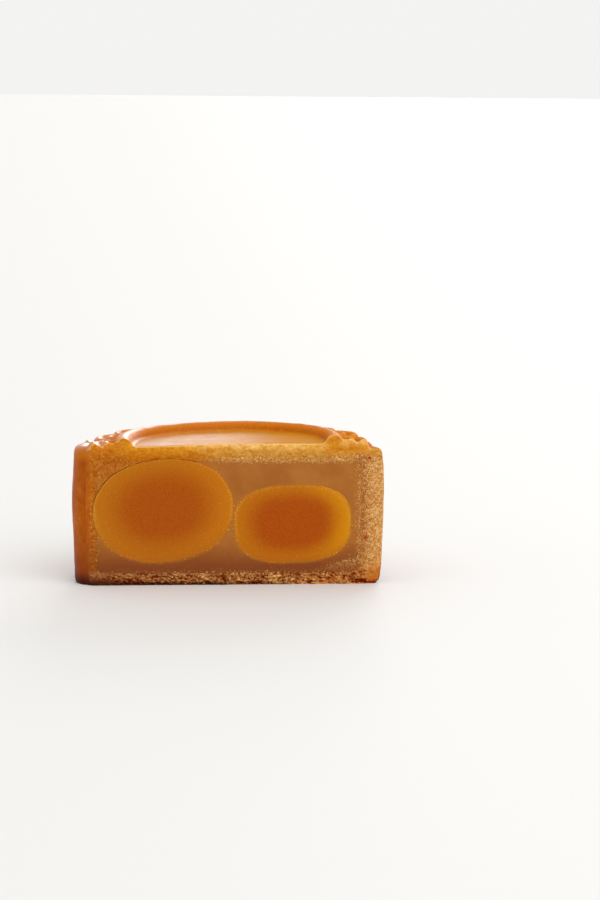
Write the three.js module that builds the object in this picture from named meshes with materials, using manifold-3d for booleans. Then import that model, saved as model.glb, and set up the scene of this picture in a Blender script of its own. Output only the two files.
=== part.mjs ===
// Half of a round moulded mooncake, cut from top to bottom and standing on its base.
// A lobed pastry crust is baked round lotus paste, and two salted egg yolks sit in the paste.
// The crust's top carries a raised ring round a plain panel, and overlapping scales outside it.
// +X runs along the cut, +Y goes from the cut face into the body, and +Z is up.

import * as THREE from 'three';
import { mergeVertices } from 'three/addons/utils/BufferGeometryUtils.js';
import Module from 'manifold-3d';

// Driving dimensions, in millimetres and degrees

const LOBE_COUNT = 18;
const LOBE_PITCH = 360 / LOBE_COUNT;
const PEAK_RADIUS = 40; // whole cake, over the lobes
const VALLEY_RADIUS = 37; // bottom of the grooves between the lobes
const LOBE_STEPS = 6; // facets round each lobe

const WHOLE_HEIGHT = 38.5; // to the ring's top
const RIM_HEIGHT = 34.7; // outer edge of the top, lower than the ring
const RIM_FOOT_HEIGHT = 34.3; // where the rim meets the scales
const PANEL_HEIGHT = 36.7; // middle of the slightly domed panel
const PANEL_EDGE_HEIGHT = 36.2;
const FIELD_HEIGHT = 33.9; // ground under the scales, below their pits
const SINK = 1; // how far the raised parts run down into the body
const BOTTOM_ROUNDING = 1.8;
const TOP_ROUNDING = 1.7;
const FOOT_INSET = 0.9; // the wall draws in a little at its foot
const SHOULDER_INSET = 0.25; // and at its shoulder
const LOBED_FROM_RADIUS = 33; // further in, the surfaces are round
const LOBED_FULL_RADIUS = 38;
const CURVE_STEPS = 3; // facets along each rounded stretch of a profile

const RING_INNER_RADIUS = 24.9;
const RING_OUTER_RADIUS = 29.6;
const RING_SPRING_HEIGHT = 36.3; // where the ring's upright sides turn into its round top
const RING_STEPS = 72;

const SCALE_CENTRE_RADIUS = 30; // each scale is centred on the ring's outer edge
const SCALE_RADIUS = 6.2;
const SCALE_TUCK = 0.3; // how far the scales run in under the ring's edge
const SCALE_COUNT = 17;
const SCALE_PITCH = 20.75; // a little wider than the lobes' pitch, so the two rings drift apart
const FIRST_SCALE = -3.6; // turn of the first scale's centre, from -X towards +Y
const SCALE_FOOT_HEIGHT = 34.9;
const SCALE_STEPS = 26;
const RIDGE_STEPS = 12; // facets across both ridges
const OUTER_RIDGE = { radius: 4.9, height: 37.2 };
const RIDGE_GROOVE = { radius: 3.5, height: 36 };
const INNER_RIDGE = { radius: 2.2, height: 37.7 };
const PIT = { radius: 1, height: 35.6 };
const PIT_FLOOR_HEIGHT = 35.1;

const CUT_OFFSET = -4; // the cut passes in front of the cake's axis
const FIRST_PEAK = 3.7; // turn of the first lobe's peak, from -X towards +Y

const PASTE_RADIUS = 34.2;
const PASTE_BOTTOM = 3.1;
const PASTE_TOP = 32.2;
const PASTE_ROUNDING = 3.5;
const PASTE_STEPS = 48;
const GAP = 0.3; // clearance between neighbouring solids

const LARGE_YOLK = {
  centre: new THREE.Vector3(-16.9, CUT_OFFSET, 19.4),
  semiAxes: new THREE.Vector3(18, 14.5, 13.5),
  squareness: 2.15,
  tilt: 5,
};
const SMALL_YOLK = {
  centre: new THREE.Vector3(16.7, CUT_OFFSET, 15.6),
  semiAxes: new THREE.Vector3(15, 12, 10.1),
  squareness: 2.6,
  tilt: 4,
};
const YOLK_STEPS = 24;

const TOP_LEAN = 0.0004; // the top climbs this share of its height for each millimetre of +X

const CRUST_COLOUR = 0xc9822f;
const PASTE_COLOUR = 0xa2662f;
const YOLK_COLOUR = 0xd07a10;

const wasm = await Module();
wasm.setup();

const radians = THREE.MathUtils.degToRad;

// Solids and geometries

function toSolid(geometry) {
  const bare = geometry.clone();
  bare.deleteAttribute('normal');
  bare.deleteAttribute('uv');
  const merged = mergeVertices(bare, 1e-4);
  const index = merged.index.array;
  const triangles = [];
  for (let i = 0; i < index.length; i += 3) {
    const [a, b, c] = [index[i], index[i + 1], index[i + 2]];
    const collapsed = a === b || b === c || c === a;
    if (!collapsed) triangles.push(a, b, c);
  }
  return new wasm.Manifold(new wasm.Mesh({
    numProp: 3,
    vertProperties: new Float32Array(merged.attributes.position.array),
    triVerts: new Uint32Array(triangles),
  }));
}

function toGeometry(solid) {
  const mesh = solid.getMesh();
  const geometry = new THREE.BufferGeometry();
  geometry.setAttribute('position', new THREE.BufferAttribute(mesh.vertProperties, 3));
  geometry.setIndex(new THREE.BufferAttribute(mesh.triVerts, 1));
  return geometry;
}

function moveVertices(geometry, move) {
  const position = geometry.attributes.position;
  const point = new THREE.Vector3();
  for (let i = 0; i < position.count; i += 1) {
    move(point.fromBufferAttribute(position, i));
    position.setXYZ(i, point.x, point.y, point.z);
  }
  return geometry;
}

// A turned body from a profile of radius and height that runs upwards along its outside
function turned(points, steps) {
  return new THREE.LatheGeometry(points, steps).rotateX(Math.PI / 2);
}

// Turn round the cake's axis, from -X towards +Y, as a place at that radius
function placeAt(turn, radius) {
  return new THREE.Vector3(-radius * Math.cos(turn), radius * Math.sin(turn), 0);
}

// The crust's body: lobed wall, rounded edges, rim, ground of the scales and domed panel

// Each lobe is an arc of a circle that passes through its peak and both its valleys
const halfPitch = radians(LOBE_PITCH / 2);
const lobeCentreRadius = (PEAK_RADIUS ** 2 - VALLEY_RADIUS ** 2)
  / (2 * (PEAK_RADIUS - VALLEY_RADIUS * Math.cos(halfPitch)));
const lobeArcRadius = PEAK_RADIUS - lobeCentreRadius;

function outlineRadius(turn) {
  const pitches = (turn - radians(FIRST_PEAK)) / radians(LOBE_PITCH);
  const offPeak = (pitches - Math.round(pitches)) * radians(LOBE_PITCH);
  const across = lobeCentreRadius * Math.sin(offPeak);
  return lobeCentreRadius * Math.cos(offPeak) + Math.sqrt(lobeArcRadius ** 2 - across ** 2);
}

function bodyProfile() {
  const wallFoot = PEAK_RADIUS - FOOT_INSET;
  const wallShoulder = PEAK_RADIUS - SHOULDER_INSET;
  const shoulderHeight = RIM_HEIGHT - TOP_ROUNDING;
  const scalesEdge = SCALE_CENTRE_RADIUS + SCALE_RADIUS;
  const path = new THREE.Path();
  path.moveTo(0, 0);
  path.lineTo(wallFoot - BOTTOM_ROUNDING, 0);
  path.quadraticCurveTo(wallFoot, 0, wallFoot, BOTTOM_ROUNDING);
  path.quadraticCurveTo(PEAK_RADIUS + FOOT_INSET, RIM_HEIGHT / 2, wallShoulder, shoulderHeight);
  path.quadraticCurveTo(wallShoulder, RIM_HEIGHT, wallShoulder - TOP_ROUNDING, RIM_HEIGHT);
  path.lineTo(scalesEdge, RIM_FOOT_HEIGHT);
  path.lineTo(scalesEdge - SINK, FIELD_HEIGHT);
  path.lineTo(RING_OUTER_RADIUS - SINK, FIELD_HEIGHT);
  path.lineTo(RING_INNER_RADIUS + SINK, PANEL_EDGE_HEIGHT);
  path.quadraticCurveTo(RING_INNER_RADIUS / 2, PANEL_HEIGHT, 0, PANEL_HEIGHT);
  return path.getPoints(CURVE_STEPS);
}

function lobedBody() {
  const body = turned(bodyProfile(), LOBE_COUNT * LOBE_STEPS);
  body.rotateZ(radians(FIRST_PEAK));
  return moveVertices(body, (point) => {
    const radius = Math.hypot(point.x, point.y);
    if (radius <= LOBED_FROM_RADIUS) return;
    const turn = Math.atan2(point.y, -point.x);
    const share = THREE.MathUtils.smoothstep(radius, LOBED_FROM_RADIUS, LOBED_FULL_RADIUS);
    const lobedRadius = radius - share * (PEAK_RADIUS - outlineRadius(turn));
    point.x *= lobedRadius / radius;
    point.y *= lobedRadius / radius;
  });
}

// The raised ring round the panel

function ringBody() {
  const middle = (RING_INNER_RADIUS + RING_OUTER_RADIUS) / 2;
  const footHeight = FIELD_HEIGHT - SINK;
  const path = new THREE.Path();
  path.moveTo(RING_INNER_RADIUS, footHeight);
  path.lineTo(RING_OUTER_RADIUS, footHeight);
  path.lineTo(RING_OUTER_RADIUS, RING_SPRING_HEIGHT);
  path.quadraticCurveTo(RING_OUTER_RADIUS, WHOLE_HEIGHT, middle, WHOLE_HEIGHT);
  path.quadraticCurveTo(RING_INNER_RADIUS, WHOLE_HEIGHT, RING_INNER_RADIUS, RING_SPRING_HEIGHT);
  path.lineTo(RING_INNER_RADIUS, footHeight);
  return turned(path.getPoints(CURVE_STEPS), RING_STEPS);
}

// The scales: two nested ridges round a pit, each scale lying over the one before it

function scaleBody() {
  const footHeight = FIELD_HEIGHT - SINK;
  const ridges = new THREE.SplineCurve([
    new THREE.Vector2(SCALE_RADIUS, SCALE_FOOT_HEIGHT),
    new THREE.Vector2(OUTER_RIDGE.radius, OUTER_RIDGE.height),
    new THREE.Vector2(RIDGE_GROOVE.radius, RIDGE_GROOVE.height),
    new THREE.Vector2(INNER_RIDGE.radius, INNER_RIDGE.height),
    new THREE.Vector2(PIT.radius, PIT.height),
    new THREE.Vector2(0, PIT_FLOOR_HEIGHT),
  ]);
  const foot = [new THREE.Vector2(0, footHeight), new THREE.Vector2(SCALE_RADIUS, footHeight)];
  return turned([...foot, ...ridges.getPoints(RIDGE_STEPS)], SCALE_STEPS);
}

function scaleCover() {
  const cover = new THREE.CylinderGeometry(SCALE_RADIUS, SCALE_RADIUS, WHOLE_HEIGHT, SCALE_STEPS);
  return cover.rotateX(Math.PI / 2).translate(0, 0, WHOLE_HEIGHT);
}

function scaleBand() {
  const footHeight = FIELD_HEIGHT - 2 * SINK;
  const inner = RING_OUTER_RADIUS - SCALE_TUCK;
  const outer = SCALE_CENTRE_RADIUS + SCALE_RADIUS + SINK;
  const section = [
    new THREE.Vector2(inner, footHeight),
    new THREE.Vector2(outer, footHeight),
    new THREE.Vector2(outer, WHOLE_HEIGHT),
    new THREE.Vector2(inner, WHOLE_HEIGHT),
    new THREE.Vector2(inner, footHeight),
  ];
  return turned(section, RING_STEPS);
}

function scaleRow() {
  const band = toSolid(scaleBand());
  const scales = [];
  for (let i = 0; i < SCALE_COUNT; i += 1) {
    const turn = radians(FIRST_SCALE + i * SCALE_PITCH);
    const here = placeAt(turn, SCALE_CENTRE_RADIUS);
    const next = placeAt(turn + radians(SCALE_PITCH), SCALE_CENTRE_RADIUS);
    const scale = toSolid(scaleBody().rotateZ(-turn).translate(here.x, here.y, 0));
    const cover = toSolid(scaleCover().rotateZ(-turn).translate(next.x, next.y, 0));
    scales.push(scale.subtract(cover).intersect(band));
  }
  return scales.reduce((row, scale) => row.add(scale));
}

// The filling

function pasteBody(grow) {
  const radius = PASTE_RADIUS + grow;
  const bottom = PASTE_BOTTOM - grow;
  const top = PASTE_TOP + grow;
  const path = new THREE.Path();
  path.moveTo(0, bottom);
  path.lineTo(radius - PASTE_ROUNDING / 2, bottom);
  path.quadraticCurveTo(radius, bottom, radius, bottom + PASTE_ROUNDING / 2);
  path.lineTo(radius, top - PASTE_ROUNDING);
  path.quadraticCurveTo(radius, top, radius - PASTE_ROUNDING, top);
  path.lineTo(0, top);
  return turned(path.getPoints(CURVE_STEPS), PASTE_STEPS);
}

// A yolk is an ellipsoid with squarer shoulders, tilted in the plane of the cut
function yolkBody({ centre, semiAxes, squareness, tilt }, grow) {
  const ball = new THREE.SphereGeometry(1, YOLK_STEPS, YOLK_STEPS / 2);
  moveVertices(ball, (point) => {
    const powers = ['x', 'y', 'z'].map((axis) => Math.abs(point[axis]) ** squareness);
    const reach = (powers[0] + powers[1] + powers[2]) ** (-1 / squareness);
    point.multiplyScalar(reach);
  });
  ball.scale(semiAxes.x + grow, semiAxes.y + grow, semiAxes.z + grow);
  return ball.rotateY(-radians(tilt)).translate(centre.x, centre.y, centre.z);
}

// Everything in front of the cut goes

function behindCut() {
  const size = 3 * PEAK_RADIUS;
  const block = new THREE.BoxGeometry(size, size, size);
  return toSolid(block.translate(0, CUT_OFFSET + size / 2, 0));
}

function leaned(solid) {
  return moveVertices(toGeometry(solid), (point) => {
    point.z *= 1 + TOP_LEAN * point.x;
  });
}

function namedMesh(name, solid, colour, roughness) {
  const material = new THREE.MeshStandardMaterial({ color: colour, roughness, metalness: 0 });
  const mesh = new THREE.Mesh(leaned(solid), material);
  mesh.name = name;
  return mesh;
}

const keptSide = behindCut();
const yolks = [LARGE_YOLK, SMALL_YOLK];
const wholeCrust = toSolid(lobedBody()).add(scaleRow()).add(toSolid(ringBody()));
const yolkHollows = yolks.map((yolk) => toSolid(yolkBody(yolk, GAP)));
const withoutYolks = (solid) => yolkHollows.reduce((rest, hollow) => rest.subtract(hollow), solid);
const crust = withoutYolks(wholeCrust.subtract(toSolid(pasteBody(GAP))));
const paste = withoutYolks(toSolid(pasteBody(0)));
const [largeYolk, smallYolk] = yolks.map((yolk) => toSolid(yolkBody(yolk, 0)));

const half = new THREE.Group();
half.add(namedMesh('pastry_crust', crust.intersect(keptSide), CRUST_COLOUR, 0.45));
half.add(namedMesh('lotus_paste', paste.intersect(keptSide), PASTE_COLOUR, 0.5));
half.add(namedMesh('yolk_large', largeYolk.intersect(keptSide), YOLK_COLOUR, 0.4));
half.add(namedMesh('yolk_small', smallYolk.intersect(keptSide), YOLK_COLOUR, 0.4));

// The origin is under the middle of the half's box, on the surface it stands on
const middle = new THREE.Box3().setFromObject(half).getCenter(new THREE.Vector3());
half.position.set(-middle.x, -middle.y, 0);

const group = new THREE.Group();
group.add(half);

export default group;
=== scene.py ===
import math
import random

import bpy
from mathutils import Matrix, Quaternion, Vector


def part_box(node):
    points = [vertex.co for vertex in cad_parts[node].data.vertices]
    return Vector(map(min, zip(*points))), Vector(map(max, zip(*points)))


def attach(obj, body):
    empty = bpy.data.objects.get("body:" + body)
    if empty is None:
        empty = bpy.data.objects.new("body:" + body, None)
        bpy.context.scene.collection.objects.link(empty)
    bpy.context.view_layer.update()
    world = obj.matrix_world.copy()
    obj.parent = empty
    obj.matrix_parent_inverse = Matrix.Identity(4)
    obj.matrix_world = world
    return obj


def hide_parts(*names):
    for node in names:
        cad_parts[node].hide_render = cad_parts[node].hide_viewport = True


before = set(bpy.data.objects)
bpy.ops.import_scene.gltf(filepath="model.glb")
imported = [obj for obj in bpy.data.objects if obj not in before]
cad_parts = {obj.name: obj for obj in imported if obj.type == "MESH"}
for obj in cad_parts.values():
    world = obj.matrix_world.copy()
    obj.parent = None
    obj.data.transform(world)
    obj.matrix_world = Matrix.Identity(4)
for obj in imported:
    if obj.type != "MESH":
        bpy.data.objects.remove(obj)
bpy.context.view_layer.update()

# The half of a moulded mooncake is modelled round the whole cake's upright axis, then moved to
# its place on the frame. +X runs along the cut, +Y from the cut into the body, +Z up. Sizes are in
# metres, written as millimetres times MM. Places on the cut and in the finishes are in plain mm.

MM = 0.001

# The crust's wall
LOBE_COUNT = 18
LOBE_PITCH = math.tau / LOBE_COUNT
FIRST_PEAK = math.radians(3.7)  # turn of the first lobe's peak, from -X towards +Y
PEAK_RADIUS = 40 * MM
VALLEY_RADIUS = 37 * MM
LOBE_CENTRE = 32.43 * MM  # each lobe is part of a cylinder through its peak and its valleys
LOBE_RADIUS = PEAK_RADIUS - LOBE_CENTRE

# The crust's top
RIM_HEIGHT = 34.7 * MM
RING_RADIUS = 27.25 * MM
RING_HALF_WIDTH = 2.35 * MM
RING_HALF_HEIGHT = 2.6 * MM
RING_TOP = 38.55 * MM
RING_CLIMB = 0.0154  # the ring's top climbs by this for each mm of +X
SCALE_FOOT = 34.9 * MM
SCALE_CENTRE = 29.4 * MM
SCALE_RADIUS = 6.8 * MM
FIRST_SCALE = math.radians(-3.6)
SCALE_PITCH = math.radians(20.87)
TOP_LEAN = 0.0004 / MM  # the top climbs this share of its height for each metre of +X

# The filling
PASTE_RADIUS = 34.1 * MM
PASTE_BOTTOM = 3.1 * MM
PASTE_TOP = 32.2 * MM
PASTE_OVERLAP = 0.02 * MM  # the filling reaches this far into the crust, so that no gap shows
YOLK_OVERLAP = 0.05 * MM  # the yolks reach this far into the filling
YOLKS = {
    "yolk_large": {"centre": (-16.9, 19.5), "half": (18, 14.5, 13.4), "corner": 0.92, "tilt": 5},
    "yolk_small": {"centre": (16.4, 15.7), "half": (15, 12, 9.95), "corner": 0.74, "tilt": 2},
}
YOLK_POWERS = {"yolk_large": 2.15, "yolk_small": 2.6}  # how square an outline is; 2 is an ellipse

# The remeshing grids
MOULD_VOXEL = 0.3 * MM
CRUST_VOXEL = 0.4 * MM
PASTE_VOXEL = 0.9 * MM

HAIR = 0.1 * MM  # too little to see: keeps two tops apart, and finds what lies at a height
UPWARD = 0.99  # a normal's z past which a face looks straight up
BASE_SQUEEZE = 0.7  # the base's crumb is wider than high by 1 / this

# The cut passes this far in front of the axis
CUT_AHEAD = 4 * MM
CUT = -CUT_AHEAD
paste_low, paste_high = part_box("lotus_paste")
crust_low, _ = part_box("pastry_crust")
AXIS = Vector(((paste_low.x + paste_high.x) / 2, crust_low.y + CUT_AHEAD, 0))


# Modelling helpers


def only(piece):
    """Selects that object alone and makes it the active one."""
    bpy.ops.object.select_all(action="DESELECT")
    piece.select_set(True)
    bpy.context.view_layer.objects.active = piece
    return piece


def named(name):
    """Names the object that an operator has just added, and selects it alone."""
    piece = bpy.context.active_object
    piece.name = name
    piece.data.name = name
    return only(piece)


def edit(piece):
    """Opens a piece in edit mode with nothing selected."""
    only(piece)
    bpy.ops.object.mode_set(mode="EDIT")
    bpy.ops.mesh.select_mode(type="FACE")
    bpy.ops.mesh.select_all(action="DESELECT")


def leave():
    """Goes back to object mode."""
    bpy.ops.object.mode_set(mode="OBJECT")


def pick(piece, kind, test):
    """In edit mode, selects the vertices, edges or faces whose place and normal pass a test."""
    bpy.ops.mesh.select_mode(type=kind)
    bpy.ops.mesh.select_all(action="DESELECT")
    leave()
    mesh = piece.data
    if kind == "FACE":
        for face in mesh.polygons:
            face.select = test(face.center, face.normal)
    elif kind == "EDGE":
        for line in mesh.edges:
            ends = [mesh.vertices[i] for i in line.vertices]
            line.select = all(test(end.co, end.normal) for end in ends)
    else:
        for point in mesh.vertices:
            point.select = test(point.co, point.normal)
    bpy.ops.object.mode_set(mode="EDIT")


def rounded(piece, test, width, segments):
    """In edit mode, rounds the edges that pass a test."""
    pick(piece, "EDGE", test)
    bpy.ops.mesh.bevel(offset=width, segments=segments, affect="EDGES")


def stepped(piece, steps):
    """In edit mode, insets the top face again and again, each time (inward, upward) in mm."""
    pick(piece, "FACE", lambda at, n: n.z > UPWARD)
    for inward, upward in steps:
        bpy.ops.mesh.inset(thickness=inward * MM, depth=upward * MM)


def resized(piece, size, centre=(0, 0, 0)):
    """Makes a piece's mesh larger or smaller about a point."""
    edit(piece)
    bpy.ops.mesh.select_all(action="SELECT")
    bpy.ops.transform.resize(value=size, center_override=centre)
    leave()


def softened(piece, test, repeat):
    """Smooths the part of a surface that passes a test."""
    edit(piece)
    pick(piece, "VERT", test)
    bpy.ops.mesh.vertices_smooth(factor=0.5, repeat=repeat)
    leave()


def grouped(piece, name, test):
    """Puts the vertices that pass a test into a new group."""
    piece.vertex_groups.new(name=name)
    edit(piece)
    pick(piece, "VERT", test)
    bpy.ops.object.vertex_group_assign()
    leave()


def settled(piece):
    """Applies an object's place, turn and size to its mesh."""
    only(piece)
    bpy.ops.object.transform_apply(location=True, rotation=True, scale=True)
    return piece


def cylinder(name, vertices, radius, depth, place):
    """An upright cylinder about that place."""
    bpy.ops.mesh.primitive_cylinder_add(
        vertices=vertices, radius=radius, depth=depth, location=place
    )
    return settled(named(name))


def copied(piece, turn):
    """A copy with its own mesh, turned clockwise about the cake's axis."""
    only(piece)
    bpy.ops.object.duplicate(linked=False)
    copy = bpy.context.active_object
    copy.rotation_euler.z = -turn
    return settled(copy)


def joined(pieces, name):
    """Makes several pieces one."""
    bpy.ops.object.select_all(action="DESELECT")
    for piece in pieces:
        piece.select_set(True)
    bpy.context.view_layer.objects.active = pieces[0]
    bpy.ops.object.join()
    return named(name)


def deleted(*pieces):
    """Removes pieces that have done their work."""
    for piece in pieces:
        bpy.data.objects.remove(piece)


def applied(piece, kind, **settings):
    """Adds a modifier with these settings and applies it."""
    only(piece)
    modifier = piece.modifiers.new(kind.title(), kind)
    for key, value in settings.items():
        setattr(modifier, key, value)
    bpy.ops.object.modifier_apply(modifier=modifier.name)
    return piece


def carved(piece, *tools):
    """Cuts the tools out of a piece."""
    for tool in tools:
        applied(piece, "BOOLEAN", operation="DIFFERENCE", object=tool, solver="MANIFOLD")
    return piece


def hollowed(piece, *tools):
    """Cuts the tools out of a piece and removes them."""
    carved(piece, *tools)
    deleted(*tools)


def clouds(name, size, depth=2, contrast=1.0):
    """A soft random texture with spots of that size."""
    texture = bpy.data.textures.new(name, "CLOUDS")
    texture.noise_scale = size
    texture.noise_depth = depth
    texture.contrast = contrast
    return texture


def roughened(piece, texture, strength, group=""):
    """Pushes the surface in and out along its normals by a texture."""
    return applied(
        piece, "DISPLACE", texture=texture, texture_coords="LOCAL", strength=strength,
        mid_level=0.5, vertex_group=group,
    )


# The whole cake's outer form


def cake_core():
    """The round middle up to the lobes' valleys, with the scales' ground and the domed panel."""
    height = RIM_HEIGHT - HAIR
    core = cylinder("core", 144, VALLEY_RADIUS, height, (0, 0, height / 2))
    edit(core)
    pick(core, "VERT", lambda at, n: at.z < MM)
    bpy.ops.transform.resize(value=(0.97, 0.97, 1), center_override=(0, 0, 0))
    rounded(core, lambda at, n: at.z < MM or at.z > height - MM, 1.2 * MM, 3)
    stepped(core, ((0.3, 0.2), (6.6, 0), (3.6, 1.3), (8, 0.2), (8, 0.1), (5, 0.05)))
    leave()
    return core


def lobe():
    """One lobe of the wall on the -X side, widest above the middle, with rounded edges."""
    middle = (-LOBE_CENTRE, 0, 0)
    foot_radius = LOBE_RADIUS - 0.55 * MM
    piece = cylinder("lobe", 64, foot_radius, RIM_HEIGHT, (-LOBE_CENTRE, 0, RIM_HEIGHT / 2))
    edit(piece)
    for share, swell in ((0.2, 1.032), (0.45, 1.062), (0.7, 1.052), (0.88, 1.026)):
        bpy.ops.mesh.select_all(action="SELECT")
        bpy.ops.mesh.bisect(plane_co=(0, 0, RIM_HEIGHT * share), plane_no=(0, 0, 1))
        pick(piece, "VERT", lambda at, n: abs(at.z - RIM_HEIGHT * share) < HAIR)
        bpy.ops.transform.resize(value=(swell, swell, 1), center_override=middle)
    pick(piece, "VERT", lambda at, n: at.z > RIM_HEIGHT - HAIR)
    bpy.ops.transform.resize(value=(1.006, 1.006, 1), center_override=middle)
    rounded(piece, lambda at, n: at.z < HAIR, 0.8 * MM, 4)
    rounded(piece, lambda at, n: at.z > RIM_HEIGHT - HAIR, 1.3 * MM, 4)
    stepped(piece, ((2.2, -0.25),))
    leave()
    return piece


def ring():
    """The raised ring round the panel."""
    centre = RING_TOP - RING_HALF_HEIGHT
    bpy.ops.mesh.primitive_torus_add(
        major_segments=144, minor_segments=24, major_radius=RING_RADIUS,
        minor_radius=RING_HALF_WIDTH, location=(0, 0, centre),
    )
    piece = settled(named("ring"))
    resized(piece, (1, 1, RING_HALF_HEIGHT / RING_HALF_WIDTH), (0, 0, centre))
    return piece


def scale():
    """Two nested round ridges and a pit at the ring, cut back where the next scale lies over."""
    foot = 3 * MM
    piece = cylinder("scale", 48, SCALE_RADIUS, foot, (-SCALE_CENTRE, 0, SCALE_FOOT - foot / 2))
    edit(piece)
    outer_ridge = ((0.4, 1.3), (0.4, 0.75), (0.5, 0.3), (0.6, -0.1), (0.5, -0.55), (0.4, -0.65))
    inner_ridge = ((0.3, 0), (0.4, 0.65), (0.5, 0.75), (0.5, 0.25), (0.5, -0.3))
    pit = ((0.4, -0.95), (0.3, -1.05), (0.3, -0.4))
    stepped(piece, outer_ridge + inner_ridge + pit)
    bpy.ops.mesh.select_all(action="SELECT")
    bpy.ops.mesh.bisect(
        plane_co=(-RING_RADIUS - 0.6 * RING_HALF_WIDTH, 0, 0), plane_no=(1, 0, 0),
        use_fill=True, clear_outer=True,
    )
    leave()
    next_x, next_y = -SCALE_CENTRE * math.cos(SCALE_PITCH), SCALE_CENTRE * math.sin(SCALE_PITCH)
    cover_radius = SCALE_RADIUS + 0.05 * MM
    cover = cylinder("cover", 64, cover_radius, 20 * MM, (next_x, next_y, SCALE_FOOT))
    hollowed(piece, cover)
    return piece


def whole_cake():
    """Core, lobes, ring and scales, grown into one skin and softened as moulded dough is."""
    first_lobe, first_scale = lobe(), scale()
    parts = [cake_core(), ring()]
    for i in range(-1, LOBE_COUNT // 2 + 2):
        parts.append(copied(first_lobe, FIRST_PEAK + i * LOBE_PITCH))
        parts.append(copied(first_scale, FIRST_SCALE + i * SCALE_PITCH))
    deleted(first_lobe, first_scale)
    cake = joined(parts, "crust")
    applied(cake, "REMESH", mode="VOXEL", voxel_size=MOULD_VOXEL)
    applied(cake, "SMOOTH", factor=0.5, iterations=2)
    return cake


def end_groove():
    """Deepens the valley beside the cut's left end, which stays a clear upright groove."""
    return cylinder("end_groove", 24, 0.85 * MM, 100 * MM, (-37.5 * MM, CUT + 0.5 * MM, 0))


def raise_left_end(crust):
    """Lets rim and scales at the cut's left end stand a little higher than at its right end."""
    edit(crust)
    pick(crust, "VERT", lambda at, n: at.x < -36.6 * MM and at.z > 33.5 * MM and at.y < 16 * MM)
    bpy.ops.transform.translate(
        value=(0, 0, 1.5 * MM), use_proportional_edit=True, proportional_size=4 * MM,
        proportional_edit_falloff="SMOOTH",
    )
    leave()


def front_block():
    """Everything in front of the cut."""
    size = 140 * MM
    bpy.ops.mesh.primitive_cube_add(size=size, location=(0, CUT - size / 2, 0))
    return settled(named("front_block"))


# The filling


def paste_form(name, grow=0.0):
    """The filling's round form, with rounded edges and a slightly ragged skin."""
    low, high = PASTE_BOTTOM - grow, PASTE_TOP + grow
    piece = cylinder(name, 144, PASTE_RADIUS + grow, high - low, (0, 0, (low + high) / 2))
    edit(piece)
    rounded(piece, lambda at, n: at.z > high - HAIR, 3 * MM, 5)
    rounded(piece, lambda at, n: at.z < low + HAIR, 2.2 * MM, 4)
    leave()
    applied(piece, "REMESH", mode="VOXEL", voxel_size=PASTE_VOXEL)
    roughened(piece, clouds("ragged", 2.2 * MM), 0.9 * MM)
    return piece


def yolk_form(name, centre, half, corner, tilt, grow=0.0, shift=(0, 0)):
    """A whole yolk: a block that is rounding almost all over, tilted in the cut's plane."""
    bpy.ops.mesh.primitive_cube_add(size=2)
    piece = named(name)
    edit(piece)
    rounded(piece, lambda at, n: True, corner, 5)
    leave()
    applied(piece, "SUBSURF", levels=3, render_levels=3)
    reach = piece.dimensions.x / 2
    resized(piece, [(length * MM + grow) / reach for length in half])
    roughened(piece, clouds("yolk_swell", 8 * MM, 1), 0.7 * MM)
    piece.rotation_euler.y = -math.radians(tilt)
    piece.location = ((centre[0] + shift[0]) * MM, CUT, (centre[1] + shift[1]) * MM)
    return settled(piece)


def yolk_hollows():
    """The room the yolks take up, with the crack along the large one's upper left."""
    hollows = [
        yolk_form(f"{name}_hollow", **form, grow=-YOLK_OVERLAP) for name, form in YOLKS.items()
    ]
    crack = yolk_form("crack", **YOLKS["yolk_large"], grow=-YOLK_OVERLAP, shift=(-0.13, 0.15))
    hollows.append(roughened(crack, clouds("crack_edge", 1.1 * MM), 0.4 * MM))
    return hollows


# The cut pieces


def lean(piece):
    """Lets the top climb a little towards +X and moves the piece to its place on the frame."""
    applied(
        piece, "SIMPLE_DEFORM", deform_method="TAPER", deform_axis="X", lock_y=True,
        factor=TOP_LEAN * piece.dimensions.x,
    )
    piece.location = AXIS
    return settled(piece)


def on_cut(at, n):
    """Whether a place with that normal is part of the cut face."""
    return at.y < CUT + 0.3 * MM and n.y < -0.6


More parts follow.
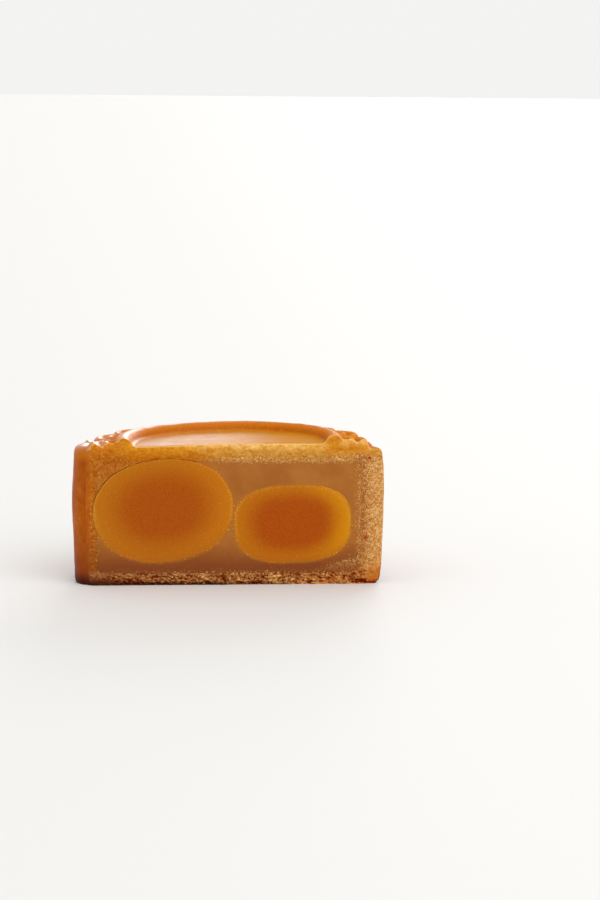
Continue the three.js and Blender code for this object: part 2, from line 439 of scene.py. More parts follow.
def make_crust(block):
    """The baked shell: the whole cake's form, cut, crumbly where cut, hollow for the filling."""
    crust = whole_cake()
    carved(crust, block)
    hollowed(crust, end_groove())
    applied(crust, "REMESH", mode="VOXEL", voxel_size=CRUST_VOXEL)
    raise_left_end(crust)
    roughened(crust, clouds("dough_swell", 9 * MM, 1), 0.3 * MM)
    roughened(crust, clouds("dough_dents", 3 * MM), 0.12 * MM)

    # the cut's upper edge, its left edge and the foot at its right end are blunt
    softened(crust, lambda at, n: at.y < CUT + 0.9 * MM and at.z > RIM_HEIGHT - 0.2 * MM, 6)
    softened(crust, lambda at, n: at.y < CUT + 1.5 * MM and at.x < -35.2 * MM, 8)
    softened(crust, lambda at, n: at.x > 35 * MM and at.z < 3.5 * MM and at.y < 12 * MM, 35)

    # a flat underside, with large faces there and on the walls, and small ones on the cut
    edit(crust)
    pick(crust, "VERT", lambda at, n: at.z < 0.35 * MM)
    bpy.ops.transform.resize(value=(1, 1, 0), center_override=(0, 0, 0))
    pick(crust, "FACE", lambda at, n: n.z < -0.9 and at.z < 0.5 * MM and at.y > CUT + MM)
    bpy.ops.mesh.decimate(ratio=0.06)
    pick(crust, "FACE", lambda at, n: abs(n.z) < 0.5 and at.z < 33 * MM and at.y > CUT + 3 * MM)
    bpy.ops.mesh.decimate(ratio=0.5)
    pick(crust, "FACE", on_cut)
    bpy.ops.mesh.subdivide(number_cuts=1)
    pick(
        crust, "FACE",
        lambda at, n: on_cut(at, n) and 0.2 * MM < at.z < 3.2 * MM and -32 * MM < at.x < 36 * MM,
    )
    bpy.ops.mesh.subdivide(number_cuts=1)
    leave()

    # the crumb's grain: coarsest at the base, where it also lies in clumps
    grains = bpy.data.textures.new("crumb_grains", "VORONOI")
    grains.noise_scale = 0.75 * MM
    zones = {
        "bottom_crumb": (-1.1, lambda x, z: -31 < x < 36 and 0.2 < z < 3.6),
        "foot_crumb": (-0.5, lambda x, z: -35.5 < x < -31 and 0.4 < z < 3.6),
        "right_crumb": (-0.45, lambda x, z: x > 34.4 and max(5, 40 - x) < z < 32.5),
        "left_crumb": (-0.28, lambda x, z: -35.8 < x < -26 and z > 3),
        "band_crumb": (-0.35, lambda x, z: 0 < x < 37 and 31.5 < z < 33.7),
        "top_crumb": (-0.13, lambda x, z: x > -34 and z > 33.9),
    }
    for name, (relief, test) in zones.items():
        grouped(crust, name, lambda at, n: on_cut(at, n) and test(at.x / MM, at.z / MM))
        squeezed = name == "bottom_crumb"
        if squeezed:
            resized(crust, (BASE_SQUEEZE, 1, 1))
        roughened(crust, grains, relief * MM, name)
        if squeezed:
            roughened(crust, clouds("clumps", 1.6 * MM, 1, 1.5), 0.6 * MM, name)
            resized(crust, (1 / BASE_SQUEEZE, 1, 1))
    hollowed(crust, paste_form("hollow"), *yolk_hollows())
    crust.vertex_groups.clear()
    return crust


def make_paste(block):
    """Smooth lotus paste, cut flush with the crust, with the yolks' hollows in it."""
    paste = carved(paste_form("paste", grow=PASTE_OVERLAP), block)
    hollowed(paste, *yolk_hollows())

    # the flat cut is sliced both ways into faces small enough for the knife's drag
    edit(paste)
    step = 1.1 * MM
    for across, reach in (((1, 0, 0), (-34, 34)), ((0, 0, 1), (4, 32))):
        for i in range(int(reach[0] * MM / step), int(reach[1] * MM / step)):
            pick(paste, "FACE", lambda at, n: n.y < -0.9)
            bpy.ops.mesh.bisect(plane_co=[share * i * step for share in across], plane_no=across)
    leave()
    grouped(paste, "cut_face", lambda at, n: at.y < CUT + 0.02 * MM)
    roughened(paste, clouds("knife_drag", 4 * MM), 0.22 * MM, "cut_face")
    paste.vertex_groups.clear()
    return paste


def make_yolk(name, block):
    """A grainy yolk, halved by the cut."""
    yolk = yolk_form(name.replace("yolk_", "yolk_half_"), **YOLKS[name])
    roughened(yolk, clouds("yolk_grain", 1.1 * MM), 0.16 * MM)
    return carved(yolk, block)


# Loose crumbs on the cut


def lumps(name, spots):
    """Small rough lumps in one mesh, each at (x, z) on the cut with a radius, all in mm."""
    shapes = random.Random(11)
    for i, (x, z, radius) in enumerate(spots):
        bpy.ops.mesh.primitive_ico_sphere_add(
            subdivisions=2, radius=radius * MM,
            location=(x * MM, CUT + 0.4 * radius * MM, z * MM),  # more than half sunk in
            rotation=[shapes.uniform(0, 3) for _ in range(3)],
            scale=[shapes.uniform(0.6, 1.3) for _ in range(3)],
        )
        if i == 0:
            piece = settled(named(name))
            edit(piece)
    leave()
    return roughened(piece, clouds("lump_relief", 0.35 * MM, 1), 0.16 * MM)


def in_yolk(x, z, spare):
    """Whether a place on the cut lies in a yolk or within that many mm of one."""
    for form in YOLKS.values():
        across = (x - form["centre"][0]) / (form["half"][0] + spare)
        up = (z - form["centre"][1]) / (form["half"][2] + spare)
        if across * across + up * up < 1:
            return True
    return False


def crust_lumps():
    """Crumb that the knife has loosened: at the filling's border, on the walls and at the base."""
    chance = random.Random(5)
    spots = []
    for count, (left, right), (low, high), (small, large) in (
        (130, (-3, 34.5), (31.8, 33), (0.12, 0.28)),  # under the top
        (25, (30.8, 33), (4, 32), (0.07, 0.13)),  # from the filling out to the right wall
        (70, (33, 35.5), (5, 32), (0.08, 0.18)),
        (140, (35, 38.4), (7, 33), (0.12, 0.26)),
        (170, (-14, 36), (0.5, 3.3), (0.2, 0.45)),  # along the base
        (40, (-33, -14), (0.9, 3.3), (0.15, 0.26)),
        (110, (-33, 36), (2.8, 3.6), (0.12, 0.26)),
        (60, (-35.2, -33.2), (3.5, 28), (0.12, 0.26)),  # on the left wall
        (50, (-34.5, -26), (24, 33), (0.12, 0.26)),
    ):
        for _ in range(count):
            x, z = chance.uniform(left, right), chance.uniform(low, high)
            if not in_yolk(x, z, 0.6):
                spots.append((x, z, chance.uniform(small, large)))
    return lumps("crust_crumbs", spots)


def yolk_lumps():
    """Yolk grains dragged just past the yolks' edges."""
    chance = random.Random(9)
    spots = []
    for name, count, sides in (("yolk_large", 36, (-150, 60)), ("yolk_small", 56, (-220, 20))):
        form = YOLKS[name]
        half_x, _, half_z = form["half"]
        tilt = math.radians(form["tilt"])
        for _ in range(count):
            turn = math.radians(chance.uniform(*sides))
            reach = 1 + abs(chance.gauss(0, 0.012))
            across, up = (
                math.copysign(abs(side) ** (2 / YOLK_POWERS[name]), side) * half * reach
                for side, half in ((math.cos(turn), half_x), (math.sin(turn), half_z))
            )
            x = form["centre"][0] + across * math.cos(tilt) - up * math.sin(tilt)
            z = form["centre"][1] + across * math.sin(tilt) + up * math.cos(tilt)
            spots.append((x, z, chance.uniform(0.07, 0.17)))
    return lumps("yolk_crumbs", spots)


# Finishes: colours are written as a screen shows them, and places are in mm on the frame


def linear(red, green, blue):
    """A colour as light, from the 0 to 255 values that a screen shows."""
    shares = [value / 255 for value in (red, green, blue)]
    return [s / 12.92 if s <= 0.04045 else ((s + 0.055) / 1.055) ** 2.4 for s in shares] + [1]


class Finish:
    """A material with a principled shader, and short ways to add nodes to it."""

    def __init__(self, name, **constants):
        self.material = bpy.data.materials.new(name)
        self.material.use_nodes = True
        self.tree = self.material.node_tree
        self.shader = self.tree.nodes["Principled BSDF"]
        for key, value in constants.items():
            self.shader.inputs[key.replace("_", " ")].default_value = value
        place = self.node("TexCoord").outputs["Object"]
        self.mm = self.node("Mapping", Vector=place, Scale=(1 / MM,) * 3)

    def node(self, kind, **values):
        """Adds a node. A value goes to a setting, a named socket, or as _0 to a numbered one."""
        node = self.tree.nodes.new("ShaderNode" + kind)
        for key, value in values.items():
            if hasattr(node, key) and not key[0].isupper():
                setattr(node, key, value)
            else:
                socket = int(key[1:]) if key[0] == "_" else key.replace("_", " ")
                self.feed(node.inputs[socket], value)
        return node

    def feed(self, socket, value):
        """Links a node or an output to a socket, or sets a plain value."""
        if isinstance(value, bpy.types.Node):
            value = value.outputs[0]
        if isinstance(value, bpy.types.NodeSocket):
            self.tree.links.new(value, socket)
        else:
            socket.default_value = value

    def give(self, name, value):
        """Feeds one of the shader's own sockets."""
        self.feed(self.shader.inputs[name], value)

    def sides(self, place=None):
        """The x, y and z of a place, or of the shaded one."""
        outputs = self.node("SeparateXYZ", Vector=place or self.mm).outputs
        return outputs[0], outputs[1], outputs[2]

    def behind_cut(self, y):
        """How far a y lies behind the cut."""
        return self.minus(y, (AXIS.y + CUT) / MM)

    def noise(self, per_mm, detail=2, offset=(0, 0, 0), squeeze=(1, 1, 1)):
        """Soft random values between 0 and 1."""
        place = self.node("Mapping", Vector=self.mm, Location=offset, Scale=squeeze)
        return self.node("TexNoise", Vector=place, Scale=per_mm, Detail=detail)

    def speck(self, per_mm, size, rarity, offset):
        """1 inside small scattered specks of that size, falling to 0 round them."""
        place = self.node("Mapping", Vector=self.mm, Location=offset)
        cells = self.node("TexVoronoi", Vector=place, Scale=per_mm)
        near = self.fade(cells.outputs["Distance"], size * per_mm, 0.4 * size * per_mm)
        cell_colour = self.node("SeparateColor", Color=cells.outputs["Color"])
        return self.times(near, self.math("GREATER_THAN", cell_colour.outputs[0], rarity))

    def math(self, operation, first, second=0.0):
        return self.node("Math", operation=operation, _0=first, _1=second)

    def times(self, first, *others):
        for other in others:
            first = self.math("MULTIPLY", first, other)
        return first

    def plus(self, first, *others):
        for other in others:
            first = self.math("ADD", first, other)
        return first

    def larger(self, first, *others):
        for other in others:
            first = self.math("MAXIMUM", first, other)
        return first

    def minus(self, first, second):
        return self.math("SUBTRACT", first, second)

    def fade(self, value, start, end):
        """0 at start and 1 at end of a value, smooth between."""
        return self.node(
            "MapRange", interpolation_type="SMOOTHSTEP", Value=value, From_Min=start, From_Max=end
        )

    def mix(self, share, first, second):
        """The first colour where a share is 0, the second where it is 1."""
        return self.node("Mix", data_type="RGBA", _0=share, _6=first, _7=second).outputs[2]

    def tones(self, share, first, second):
        """Mixes two colours written as a screen shows them."""
        return self.mix(share, linear(*first), linear(*second))

    def laid(self, colour, other, share, strength=None):
        """Lays another colour over a colour where a share is 1, by a strength if one is given."""
        if strength is not None:
            share = self.times(share, strength)
        return self.mix(share, colour, linear(*other))

    def shaded(self, colour, share, dark, bright):
        """Multiplies a colour by one tint where a share is 0 and by another where it is 1."""
        tint = self.mix(share, (*dark, 1), (*bright, 1))
        return self.node("VectorMath", operation="MULTIPLY", _0=colour, _1=tint).outputs[0]

    def bump(self, height, strength, distance):
        """Fine relief in the shading alone."""
        self.give("Normal", self.node("Bump", Height=height, Strength=strength, Distance=distance))


def cut_colour(f):
    """The open crumb: oily amber at the left, floury gold at the right, brown at the base."""
    x, _, z = f.sides()
    drift = f.times(f.minus(f.noise(0.25, 3, (11, 3, 7)), 0.5), 16)
    along = f.plus(x, drift)
    crumbs = f.fade(f.noise(1.5, 3, (5, 9, 2)), 0.34, 0.66)
    fine = f.fade(f.noise(3.4, 2, (2, 6, 4)), 0.34, 0.66)

    # the left wall and the crumb beside the filling, floury at its outer edge, with painted shade
    # lower down
    low = f.tones(f.fade(along, -31, -22), (172, 96, 18), (179, 99, 8))
    floury = f.times(f.fade(f.noise(1.9, 2, (4, 9, 9)), 0.5, 0.68), 0.4)
    low = f.laid(low, (196, 142, 70), f.times(floury, f.fade(x, -31, -33.5)))
    low = f.laid(low, (188, 129, 54), f.fade(along, -13, 1))
    low = f.laid(low, (146, 77, 18), f.fade(z, 18, 4))

    # under the top: amber to gold, palest along the top edge where a highlight is painted, with
    # blotches and pale cut scales
    golden = f.tones(f.fade(z, 34.6, 35.8), (206, 148, 56), (224, 176, 92))
    high = f.mix(f.fade(along, -14, 0), linear(203, 132, 24), golden)
    pale_top = f.times(f.fade(z, 35.3, 37.2), f.fade(x, 27.6, 29.4))
    bumps = f.tones(pale_top, (200, 130, 34), (222, 166, 82))
    high = f.mix(f.fade(x, 23, 26), high, bumps)
    high = f.laid(high, (214, 156, 60), f.fade(x, 35, 37.5))
    high = f.laid(high, (194, 115, 22), f.fade(x, -24, -33))
    blotches = f.fade(f.noise(0.7, 2, (1, 8, 5)), 0.5, 0.64)
    spotted = f.times(f.fade(x, -16, 2), 0.7)
    high = f.laid(high, (211, 140, 34), f.times(blotches, spotted))
    colour = f.mix(f.fade(z, 32.6, 35.4), low, high)

    # the right wall: filling-brown at its inner side, paler outwards, as more pale crumb lies on it
    outward = f.fade(f.plus(x, f.times(drift, 0.12)), 32.6, 38)
    right = f.tones(outward, (156, 94, 43), (189, 132, 60))
    share = f.plus(f.times(fine, 0.6), f.times(outward, 0.5))
    right = f.laid(right, (216, 164, 100), f.fade(share, 0.5, 0.95), 0.75)
    on_right = f.times(f.fade(x, 31.5, 34), f.fade(z, 35, 32))
    colour = f.mix(on_right, colour, right)

    # grain: coarse on the right wall and low down, calm under the top; holes at the right in
    # painted shade
    open_crumb = f.larger(on_right, f.fade(z, 34.2, 32.6))
    waves = f.fade(f.noise(0.8, 3, (7, 2, 7), (0.4, 1, 1)), 0.32, 0.68)
    calm = f.shaded(colour, waves, (0.9, 0.8, 0.56), (1.08, 1.16, 1.5))
    calm = f.shaded(calm, crumbs, (0.91, 0.83, 0.62), (1.06, 1.13, 1.42))
    coarse = f.shaded(colour, crumbs, (0.86, 0.74, 0.56), (1.12, 1.24, 1.5))
    coarse = f.shaded(coarse, fine, (0.9, 0.8, 0.62), (1.1, 1.22, 1.5))
    colour = f.mix(open_crumb, calm, coarse)
    hole_shade = f.times(f.speck(0.85, 0.36, 0.4, (2, 2, 7)), f.fade(z, 35, 33.6), f.fade(x, -6, 2))
    colour = f.laid(colour, (152, 76, 14), hole_shade, 0.5)

    # the base: flaky, with a painted highlight along its upper border at the left, and darkest
    # along its lower edge
    clumps = f.fade(f.noise(0.55, 2, (3, 3, 3)), 0.35, 0.65)
    flakes = f.fade(f.noise(2.0, 3, (5, 9, 2), (0.6, 1, 1)), 0.34, 0.66)
    base = f.tones(flakes, (108, 40, 9), (220, 162, 92))
    base = f.shaded(base, fine, (0.75, 0.55, 0.35), (1.15, 1.3, 1.5))
    base = f.shaded(base, clumps, (0.78, 0.68, 0.55), (1.2, 1.32, 1.45))
    base = f.laid(base, (130, 66, 26), f.fade(x, 6, -34), 0.55)
    base = f.laid(base, (118, 56, 20), f.fade(x, -26, -33), 0.5)
    base = f.laid(base, (198, 128, 60), f.fade(x, 8, 30), 0.45)
    # a painted highlight along the base's upper border
    border = f.times(f.fade(z, 2.2, 2.8), f.fade(x, 4, -12))
    base = f.laid(base, (178, 122, 74), border, 0.4)
    lower_edge_dark = f.times(f.fade(z, 1.2, 0.5), f.fade(x, 30, -8))
    lower_edge_dark = f.larger(lower_edge_dark, f.times(f.fade(z, 2.4, 0.7), f.fade(x, -22, -34)))
    base = f.laid(base, (48, 10, 2), lower_edge_dark, 0.85)
    colour = f.mix(f.fade(z, 4.1, 3.1), colour, base)

    # the right wall's foot: smooth and orange
    foot = f.fade(f.minus(x, f.times(z, 0.55)), 32.5, 35.5)
    foot = f.times(foot, f.fade(z, 9, 3))
    mottled = f.tones(crumbs, (172, 88, 14), (196, 120, 30))
    return f.mix(f.times(foot, 0.75), colour, mottled)


def crust_finish():
    """Golden egg-washed crust outside, and open crumb within about half a mm of the cut."""
    f = Finish(
        "baked_crust", Coat_Roughness=0.28, Subsurface_Weight=0.18,
        Subsurface_Radius=(1.4, 0.7, 0.2), Subsurface_Scale=0.7 * MM, Specular_IOR_Level=0.05,
    )
    x, y, z = f.sides()
    depth = f.behind_cut(y)
    flat = f.node("Mapping", Vector=f.mm, Location=(0, -AXIS.y / MM, 0), Scale=(1, 1, 0))
    radius = f.node("VectorMath", operation="LENGTH", Vector=flat).outputs["Value"]
    grain = f.fade(f.noise(2.6, 3), 0.3, 0.7)

    # the baked skin: brown-orange walls and golden relief
    walls = f.tones(grain, (164, 80, 8), (182, 95, 14))
    walls = f.laid(walls, (166, 80, 8), f.fade(f.noise(0.16, 2, (11, 3, 7)), 0.35, 0.7))
    relief = f.tones(grain, (186, 100, 4), (202, 117, 10))
    upright = f.node("Mapping", Vector=f.mm, Scale=(1, 1, 0.7))
    blotches = f.node("TexNoise", Vector=upright, Scale=0.6, Detail=4)
    walls = f.laid(walls, (146, 62, 14), f.fade(blotches, 0.5, 0.7), 0.6)
    walls = f.laid(walls, (190, 106, 34), f.fade(blotches, 0.45, 0.3), 0.5)
    dots = f.times(f.speck(1.1, 0.34, 0.4, (3, 7, 2)), 0.4)
    relief = f.laid(relief, (160, 66, 4), dots)
    skin = f.mix(f.fade(z, 31, 35), walls, relief)

    # a paler, grainy panel inside the ring
    high = f.fade(z, 33, 34.5)
    on_panel = f.times(f.fade(radius, 24.9, 24.2), high)
    grainy = f.fade(f.noise(3.4, 2, (6, 6, 6)), 0.35, 0.65)
    panel = f.tones(grainy, (174, 106, 14), (202, 134, 36))
    panel = f.laid(panel, (178, 106, 22), f.fade(f.noise(0.5, 3, (4, 2, 8)), 0.4, 0.7), 0.3)
    # painted to cancel the sheen: towards +X the panel is deeper and without blue
    panel = f.laid(panel, (186, 117, 0), f.fade(x, 0, 14), 0.8)
    skin = f.mix(on_panel, skin, panel)

    # painted shade in the grooves between the scales, painted highlights on their crests, painted
    # shade low on the ring's inner side, and a brown rim; painted shade darkens the walls towards
    # the foot, and they are darkest along the lower edge
    groove_shade = f.times(
        f.fade(z, 36.6, 35.2), f.fade(radius, 36.5, 35.5), f.fade(radius, 27, 28.5), high
    )
    skin = f.laid(skin, (124, 54, 6), groove_shade, 0.8)
    ring_wall_shade = f.times(f.fade(radius, 24.6, 25.2), f.fade(radius, 27.2, 26.2))
    level = f.minus(z, f.times(x, RING_CLIMB))
    ring_wall_shade = f.times(ring_wall_shade, f.fade(level, 38, 36.6), high)
    skin = f.laid(skin, (164, 78, 4), ring_wall_shade, 0.55)
    crest_highlights = f.times(f.fade(z, 36.8, 37.6), f.fade(radius, 29.4, 30.4))
    skin = f.laid(skin, (218, 146, 44), crest_highlights, 0.4)
    rim = f.times(f.fade(radius, 35.8, 36.6), f.fade(radius, 39.4, 38.4), high)
    skin = f.laid(skin, (172, 96, 30), rim, 0.5)
    skin = f.laid(skin, (134, 56, 12), f.fade(z, 16, 0))
    skin = f.laid(skin, (72, 20, 5), f.fade(z, 4, 0.6))

    # the cut, with painted shade in its pits and in the crack, and a painted highlight on the
    # edge where the skin meets it at the top
    crumb = cut_colour(f)
    within = f.times(f.fade(f.math("ABSOLUTE", x), 38.8, 37.6), f.fade(z, 34.2, 33))
    pit_shade = f.times(f.fade(depth, 0.05, 0.35), within)
    crumb = f.shaded(crumb, pit_shade, (1, 1, 1), (0.8, 0.22, 0.02))
    inside = f.fade(f.plus(depth, f.times(grain, 0.3)), 0.9, 0.45)
    inside = f.times(inside, f.fade(x, -36.3, -35.2))
    edge = f.times(f.fade(depth, 0.05, 0.2), f.fade(depth, 0.8, 0.4), f.fade(z, 34.6, 35.4), 0.5)
    colour = f.laid(f.mix(inside, skin, crumb), (232, 184, 112), edge)

    # a few yellow and red specks all over
    colour = f.laid(colour, (222, 150, 14), f.speck(0.3, 0.6, 0.8, (8, 1, 4)), 0.3)
    colour = f.laid(colour, (196, 54, 10), f.speck(0.35, 0.2, 0.86, (2, 5, 1)), 0.6)
    f.give("Base Color", colour)

    # the egg wash: in soft streaks on the panel, on the ring's top and on the left scales, thin
    # elsewhere, fading towards the right, and none on the cut
    flow = f.node("Mapping", Vector=f.mm, Scale=(0.07, 0.12, 0.1), Rotation=(0, 0, 0.35))
    streaks = f.node("TexNoise", Vector=flow, Scale=1.0, Detail=4, Distortion=0.6)
    wash = f.plus(0.58, f.times(f.fade(streaks, 0.35, 0.62), 0.42))
    wash = f.times(wash, f.fade(x, 8, -18))
    ring_top = f.times(f.fade(level, 37.9, 38.4), 0.7)
    thin = f.plus(f.times(f.fade(z, 33, 36), 0.05), 0.03)
    left_scales = f.times(f.fade(x, -24, -31), f.fade(z, 34, 35.5), f.fade(radius, 29.5, 31.5))
    off_panel = f.plus(ring_top, f.plus(thin, f.times(left_scales, 0.75)))
    dull = f.fade(x, 4, 18)
    glaze = f.node("Mix", data_type="FLOAT", _0=on_panel, _2=off_panel, _3=wash)
    f.give("Coat Weight", f.times(glaze, f.minus(1, inside), f.minus(1, f.times(dull, 0.8))))
    rough = f.plus(f.times(inside, 0.25), f.times(grain, 0.12), f.times(dull, 0.3), 0.35)
    f.give("Roughness", rough)
    waves = f.times(f.noise(0.3, 2, (6, 1, 3)), 1.6)
    f.bump(f.plus(f.noise(3, 3, (1, 2, 3)), waves), 0.35, 0.15 * MM)
    return f.material


def yolk_sides(f, name):
    """Across and upward in a yolk's own halves, and how far out a place lies, 1 on its outline."""
    form = YOLKS[name]
    power, (middle_x, middle_z) = YOLK_POWERS[name], form["centre"]
    moved = f.node("Mapping", Vector=f.mm, Location=(-AXIS.x / MM - middle_x, 0, -middle_z))
    turned = f.node("Mapping", Vector=moved, Rotation=(0, math.radians(form["tilt"]), 0))
    halves = f.node("Mapping", Vector=turned, Scale=[1 / half for half in form["half"]])
    across, _, upward = f.sides(halves)
    powers = [f.math("POWER", f.math("ABSOLUTE", side), power) for side in (across, upward)]
    reach = f.math("POWER", f.plus(*powers), 1 / power)
    return across, upward, reach


def paste_finish():
    """Dense lotus paste, faintly mottled and translucent, with crumb smeared over its border."""
    f = Finish(
        "lotus_paste", Roughness=0.42, Subsurface_Weight=0.3, Subsurface_Radius=(1.8, 1, 0.5),
        Subsurface_Scale=MM, Specular_IOR_Level=0.12,
    )
    x, y, z = f.sides()
    colour = f.tones(f.fade(f.noise(0.16), 0.25, 0.75), (158, 94, 32), (172, 108, 42))
    colour = f.laid(colour, (144, 80, 26), f.noise(1.6, 3, (4, 4, 4)), 0.3)
    # darker towards the bottom, a painted shade
    colour = f.laid(colour, (124, 60, 20), f.fade(z, 13, 3))
    colour = f.laid(colour, (206, 150, 90), f.speck(0.5, 0.16, 0.7, (3, 3, 9)), 0.35)

    # crumb that the knife dragged over the border at the top, the right and the base
    crumbs = f.noise(2.2, 3, (9, 1, 6))
    near_top = f.times(f.fade(z, 30.6, 32.8), f.fade(x, -8, 0))
    near_right = f.times(f.fade(x, 30.5, 36), f.fade(z, 3, 10))
    above_base = f.minus(z, f.times(f.fade(x, 20, 33), 3))  # the border climbs towards the right
    near_base = f.times(f.fade(above_base, 5.2, 2.8), 0.75)
    near = f.larger(near_top, near_right, near_base)
    dragged = f.fade(f.plus(crumbs, f.times(near, 0.36)), 0.64, 0.86)
    pale_crumb = f.tones(f.fade(crumbs, 0.35, 0.6), (176, 116, 50), (206, 152, 84))
    pale_crumb = f.laid(pale_crumb, (142, 82, 36), f.fade(z, 7, 3))
    colour = f.mix(f.times(dragged, 0.8), colour, pale_crumb)

    # a soft trace of yolk round each yolk
    for name, trace in (("yolk_large", (174, 102, 18)), ("yolk_small", (182, 110, 20))):
        reach = yolk_sides(f, name)[2]
        stray = f.times(f.minus(f.noise(0.9, 3, (3, 8, 8)), 0.5), 0.08)
        colour = f.laid(colour, trace, f.fade(f.plus(reach, stray), 1.07, 0.985), 0.6)

    # over the large yolk a smear of oily crust hides the filling; inside the crack is painted shade
    smear = f.times(f.fade(x, -7, -12), f.fade(z, 17, 21))
    colour = f.mix(smear, colour, cut_colour(f))
    colour = f.shaded(colour, f.fade(f.behind_cut(y), 0.15, 0.45), (1, 1, 1), (0.95, 0.13, 0.0))
    f.give("Base Color", colour)
    f.bump(f.noise(1.2, 3, (7, 7, 7)), 0.12, 0.2 * MM)
    return f.material


def crumb_finish():
    """Loosened crust crumb: floury and pale, amber at the left, browner near the base."""
    f = Finish(
        "loose_crust_crumb", Roughness=0.6, Specular_IOR_Level=0.15, Subsurface_Weight=0.1,
        Subsurface_Radius=(1, 0.6, 0.3), Subsurface_Scale=0.5 * MM,
    )
    x, _, z = f.sides()
    tint = f.fade(f.noise(1.1, 2, (2, 2, 5)), 0.3, 0.7)
    colour = f.tones(tint, (184, 120, 54), (226, 184, 118))
    amber = f.tones(tint, (160, 88, 14), (204, 132, 36))
    colour = f.mix(f.fade(x, -20, -28), colour, amber)
    base = f.tones(tint, (104, 42, 8), (188, 124, 60))
    colour = f.mix(f.fade(z, 4.6, 3), colour, base)
    f.give("Base Color", colour)
    f.bump(f.noise(4), 0.3, 0.1 * MM)
    return f.material


def yolk_crumb_finish():
    """Loose yolk grains, gold with a moist shine."""
    f = Finish(
        "loose_yolk_crumb", Roughness=0.4, Specular_IOR_Level=0.25, Subsurface_Weight=0.2,
        Subsurface_Radius=(1, 0.5, 0.1), Subsurface_Scale=0.5 * MM,
    )
    tint = f.fade(f.noise(1.1, 2, (2, 2, 5)), 0.3, 0.7)
    f.give("Base Color", f.tones(tint, (186, 106, 12), (224, 164, 56)))
    f.bump(f.noise(4), 0.3, 0.1 * MM)
    return f.material


# For each yolk: the core's colour, how far out it starts to fade, the rim's colour, the rim's
# colour towards +X, and how strongly painted shade shows as a brown line along the outline
YOLK_LOOKS = {
    "yolk_large": ((158, 69, 0), 0.4, (175, 102, 8), (184, 105, 7), 0.6),
    "yolk_small": ((158, 65, 0), 0.48, (178, 101, 3), (196, 125, 0), 0.2),
}


def yolk_finish(name):
    """Cooked salted yolk: deep orange in the middle, grainy gold towards its edge."""
    f = Finish(
        name + "_cut", Roughness=0.45, Subsurface_Weight=0.25, Subsurface_Radius=(1.6, 0.6, 0.1),
        Subsurface_Scale=MM, Specular_IOR_Level=0.06,
    )
    core, core_reach, rim, bright_rim, outline_shade_strength = YOLK_LOOKS[name]
    across, upward, reach = yolk_sides(f, name)
    soft = f.plus(reach, f.times(f.minus(f.noise(2.2, 3), 0.5), 0.14))
    soft = f.minus(soft, f.times(upward, 0.06))
    edge = f.tones(f.fade(across, 0, 0.9), rim, bright_rim)
    # the rim darker at the bottom, a painted shade
    edge = f.laid(edge, (166, 86, 3), f.fade(upward, -0.3, -1), 0.5)
    colour = f.mix(f.fade(soft, core_reach, 0.96), linear(*core), edge)
    pale_rim = f.times(f.fade(soft, 0.92, 1.0), f.fade(upward, -0.6, 0.1))
    colour = f.laid(colour, (216, 150, 40), pale_rim, 0.3)

    # painted shade as a brown line along the outline, broken in places, and on the large yolk along
    # the crack alone
    broken = f.fade(f.noise(0.5, 3, (9, 9, 1)), 0.36, 0.56)
    if name == "yolk_large":
        upper_left = f.times(f.fade(upward, 0, 0.3), f.fade(across, 0.5, 0.3))
        broken = f.times(f.larger(broken, 0.4), upper_left)
    line = f.times(f.fade(reach, 0.975, 0.995), f.times(broken, outline_shade_strength))
    colour = f.laid(colour, (146, 56, 0), line)

    # grain: fine all over, pale specks outwards, and a ragged pale edge
    fine = f.fade(f.noise(4.5, 2, (1, 7, 2)), 0.3, 0.7)
    colour = f.laid(colour, (226, 150, 50), fine, 0.12)
    pale = f.times(f.speck(1.1, 0.15, 0.5, (5, 5, 1)), f.fade(soft, 0.3, 1))
    colour = f.laid(colour, (228, 168, 80), pale, 0.55)
    colour = f.laid(colour, (166, 98, 28), f.fade(soft, 0.95, 1.03), 0.3)
    ragged = f.times(f.fade(f.noise(3.2, 2, (3, 1, 1)), 0.5, 0.66), f.fade(reach, 0.93, 0.99))
    colour = f.laid(colour, (230, 170, 76), f.times(ragged, f.fade(upward, -1.2, 0.1)), 0.45)

    # painted shade inside the crack
    inward = f.fade(f.behind_cut(f.sides()[1]), 0.12, 0.4)
    colour = f.shaded(colour, inward, (1, 1, 1), (0.95, 0.15, 0.0))
    f.give("Base Color", colour)
    f.bump(f.noise(2.6, 3, (3, 8, 5)), 0.3, 0.12 * MM)
    return f.material


def dressed(piece, material, node=None):
    """Gives a finished piece its material and its body, and hides the part it stands in for."""
    piece.data.materials.clear()
    piece.data.materials.append(material)
    only(piece)
    bpy.ops.object.shade_smooth_by_angle(angle=math.radians(50))
    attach(piece, "root")
    if node:
        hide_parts(node)


# Camera, light and floor


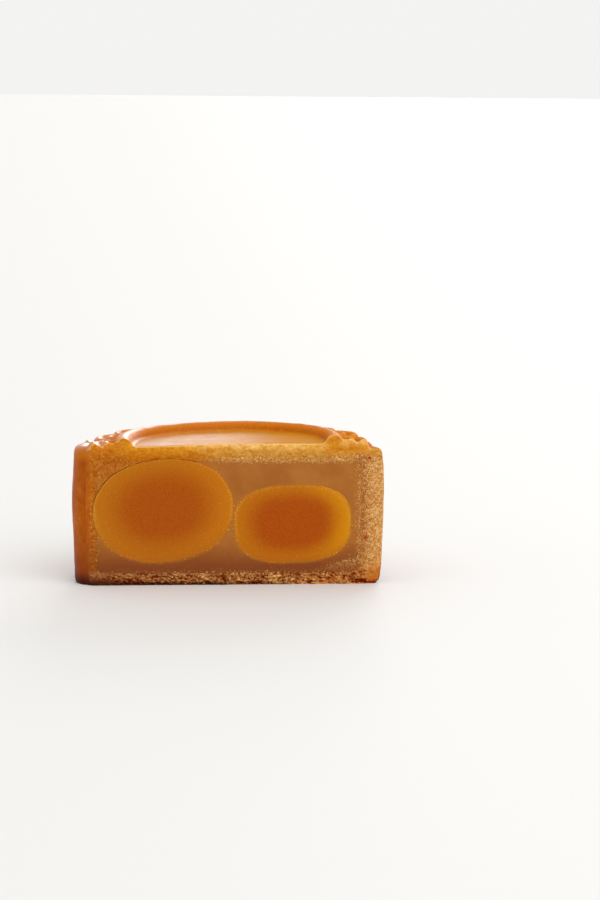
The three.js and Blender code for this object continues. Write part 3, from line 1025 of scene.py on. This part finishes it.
def make_camera():
    """A long lens, a little left of the cut's normal and slightly above, the half low in view."""
    width, height = 600, 900  # of the image, in pixels
    target_x, target_y = 225.5, 507.5  # where the target shows in it
    pixels_per_mm = 3.82
    distance = 0.7
    azimuth, elevation, roll = (math.radians(angle) for angle in (-3.5, 9, 0.5))
    focal_pixels = pixels_per_mm / MM * distance
    target = Vector((0, crust_low.y + 14 * MM, 18 * MM))
    aim = Quaternion((0, 0, 1), azimuth) @ Quaternion((1, 0, 0), math.pi / 2 - elevation)
    bpy.ops.object.camera_add(location=target + aim @ Vector((0, 0, distance)))
    camera = bpy.context.active_object
    camera.data.sensor_width = 36
    camera.data.lens = focal_pixels * camera.data.sensor_width / height
    pan = math.atan((width / 2 - target_x) / focal_pixels)
    tilt = math.atan((target_y - height / 2) / focal_pixels)
    camera.rotation_mode = "QUATERNION"
    camera.rotation_quaternion = (
        Quaternion((0, 0, 1), azimuth - pan)
        @ Quaternion((1, 0, 0), math.pi / 2 - elevation + tilt)
        @ Quaternion((0, 0, 1), roll)
    )
    bpy.context.scene.camera = camera


def soft_sun(name, place, strength, spread):
    """A distant soft light that shines from that direction, spread over that many degrees."""
    bpy.ops.object.light_add(type="SUN", location=place)
    sun = bpy.context.active_object
    sun.name = name
    sun.data.energy = strength
    sun.data.angle = math.radians(spread)
    sun.rotation_mode = "QUATERNION"
    sun.rotation_quaternion = Vector(place).to_track_quat("Z", "Y")


def make_studio():
    """A pale floor, a pale surround and two soft lights."""
    bpy.ops.mesh.primitive_plane_add(size=60)
    floor = named("floor")
    f = Finish("pale_floor", Roughness=0.7, Base_Color=linear(220, 219, 217))
    floor.data.materials.append(f.material)
    world = bpy.data.worlds.new("surround")
    world.use_nodes = True
    surround = world.node_tree.nodes["Background"]
    surround.inputs["Color"].default_value = (1, 0.995, 0.985, 1)
    surround.inputs["Strength"].default_value = 0.9
    bpy.context.scene.world = world
    soft_sun("front_light", (0.6, -1, 1.1), 1.2, 60)
    soft_sun("back_light", (0.37, 1, 0.28), 1.05, 34)
    bpy.context.scene.view_settings.view_transform = "Standard"


make_camera()
make_studio()
block = front_block()
crust = lean(make_crust(block))
paste = lean(make_paste(block))
yolks = {name: lean(make_yolk(name, block)) for name in YOLKS}
deleted(block)

dressed(crust, crust_finish(), "pastry_crust")
dressed(paste, paste_finish(), "lotus_paste")
for name, yolk in yolks.items():
    dressed(yolk, yolk_finish(name), name)
dressed(lean(crust_lumps()), crumb_finish())
dressed(lean(yolk_lumps()), yolk_crumb_finish())
